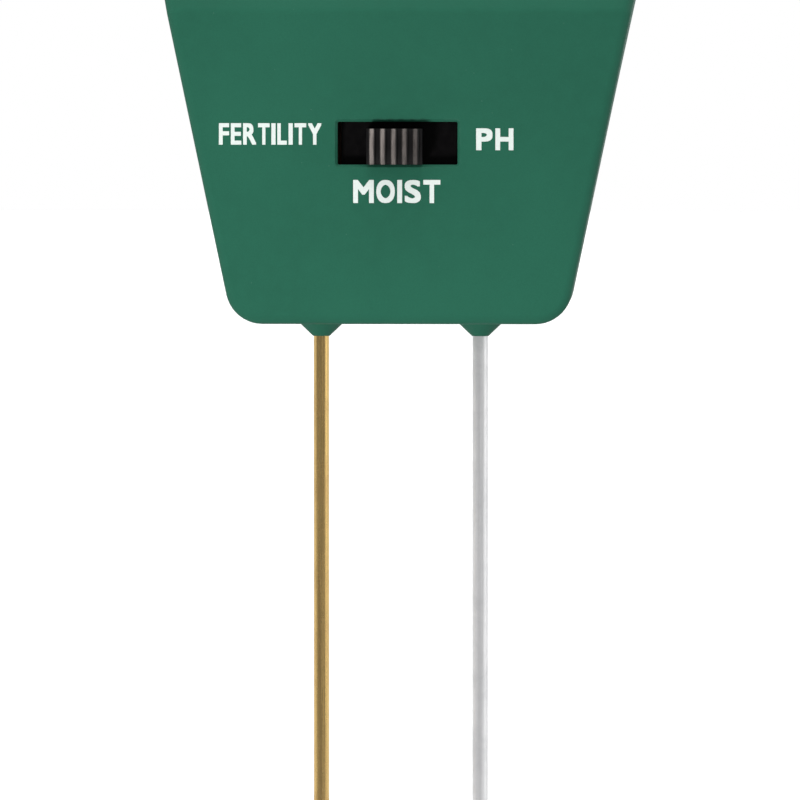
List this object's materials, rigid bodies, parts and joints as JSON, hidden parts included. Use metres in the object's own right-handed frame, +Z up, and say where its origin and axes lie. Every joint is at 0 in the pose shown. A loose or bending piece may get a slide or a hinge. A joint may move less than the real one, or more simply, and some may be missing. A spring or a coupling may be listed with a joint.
{
  "type": "soil moisture meter",
  "caption": "Hand-held soil meter with twin metal probes, a green casing with a tilted needle dial and a slide switch that picks the reading.",
  "frame": {"origin": "midway between the two probes, at the level where they leave the cones under the casing", "axes": "+Z up along the probes, +X across the front to the viewer's right, -Y out of the front of the casing"},
  "size_m": [0.0682, 0.0407, 0.2886],
  "materials": {
    "green_abs": "satin moulded ABS, fine spark texture",
    "clear_window": "clear polystyrene, polished",
    "brass": "drawn rod, lightly polished",
    "silver_alloy": "drawn rod, satin",
    "black_abs": "satin black moulding",
    "steel": "bright zinc plate",
    "dial_metal": "rolled sheet",
    "dial_print": "white card",
    "needle_red": "thin red enamel on aluminium",
    "movement_abs": "black engineering moulding",
    "magnet": "ground sintered metal",
    "soft_iron": "nickel plate",
    "copper_wire": "enamelled copper",
    "bronze": "phosphor bronze strip",
    "aluminium": "stamped sheet",
    "tinned": "tinned",
    "board": "paper laminate",
    "resistor_body": "beige lacquer",
    "phenolic": "brown laminate",
    "wire_red": "vinyl insulation",
    "wire_black": "vinyl insulation"
  },
  "bodies": {
    "meter": {"front_casing": "green_abs", "rear_casing": "green_abs", "casing_screws": "steel", "window_lens": "clear_window", "scale_plate": "dial_metal", "scale_card": "dial_print", "pointer_stops": "steel", "dial_screws": "steel", "movement_frame": "movement_abs", "movement_screws": "steel", "flux_ring": "soft_iron", "core_magnet": "magnet", "core_spacers": "movement_abs", "front_hairspring": "bronze", "rear_hairspring": "bronze", "front_bridge": "aluminium", "bridge_screws": "steel", "jewel_screws": "brass", "rear_spring_anchor": "aluminium", "meter_tags": "tinned", "switch_frame": "steel", "switch_base": "phenolic", "switch_terminals": "tinned", "circuit_board": "board", "board_screws": "steel", "resistors": "resistor_body", "resistor_leads": "tinned", "brass_probe": "brass", "silver_probe": "silver_alloy", "solder_lugs": "tinned", "probe_nuts": "steel", "probe_wire_brass": "wire_red", "probe_wire_silver": "wire_black", "meter_wire_left": "wire_red", "meter_wire_right": "wire_black"},
    "needle_assembly": {"pointer": "needle_red", "balance_weights": "bronze", "pivot_staffs": "steel", "coil_former": "aluminium", "coil_winding": "copper_wire", "spring_collets": "brass"},
    "zero_arm": {"zero_adjuster": "aluminium"},
    "function_switch": {"switch_slider": "black_abs", "contact_springs": "bronze"}
  },
  "joints": [
    {"name": "switch_slide", "type": "slide", "parent": "meter", "child": "function_switch", "axis": [1, 0, 0], "range_m": [-0.0039, 0.0039]},
    {"name": "needle_swing", "type": "hinge", "parent": "meter", "child": "needle_assembly", "pos_m": [0, 0.00065, 0.04653], "axis": [0, 0.848, -0.5299], "range_deg": [0, 90], "stiffness_Nm_per_rad": 0.000002, "deforming": ["front_hairspring", "rear_hairspring"]},
    {"name": "zero_adjust", "type": "hinge", "parent": "meter", "child": "zero_arm", "pos_m": [0, 0.00065, 0.04653], "axis": [0, 0.848, -0.5299], "range_deg": [-12, 12]}
  ]
}
